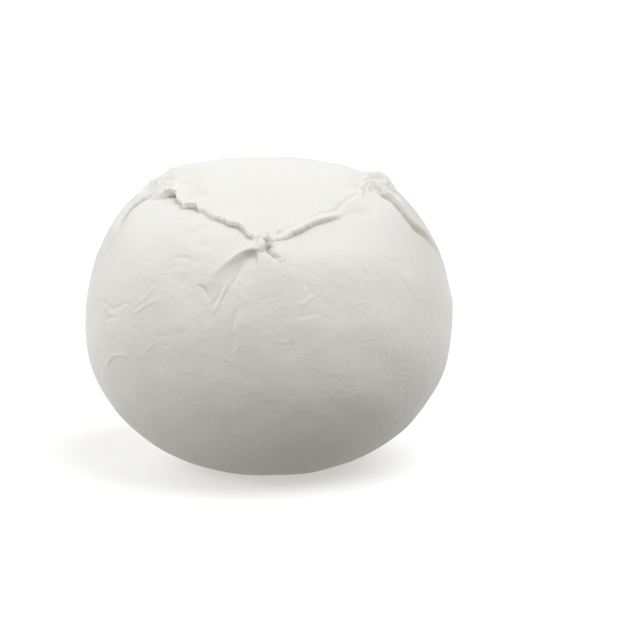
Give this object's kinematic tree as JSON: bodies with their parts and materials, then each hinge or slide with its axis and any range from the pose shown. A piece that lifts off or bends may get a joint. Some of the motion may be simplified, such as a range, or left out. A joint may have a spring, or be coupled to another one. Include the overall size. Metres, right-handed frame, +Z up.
{
  "type": "mozzarella ball",
  "caption": "Whole ball of fresh white mozzarella, a little flattened, its shallow domed top bounded in front by a torn V-shaped seam with a pinched knot.",
  "frame": {"origin": "middle of the small flat spot that the ball lies on, under the middle of its box", "axes": "+Z up, the front with the V-shaped seam towards -Y, +X to the right seen from the front"},
  "size_m": [0.0822, 0.0801, 0.0676],
  "materials": {
    "mozzarella": "moist satin, porcelain white and slightly translucent"
  },
  "bodies": {
    "root": {"mozzarella_ball": "mozzarella"}
  },
  "joints": []
}
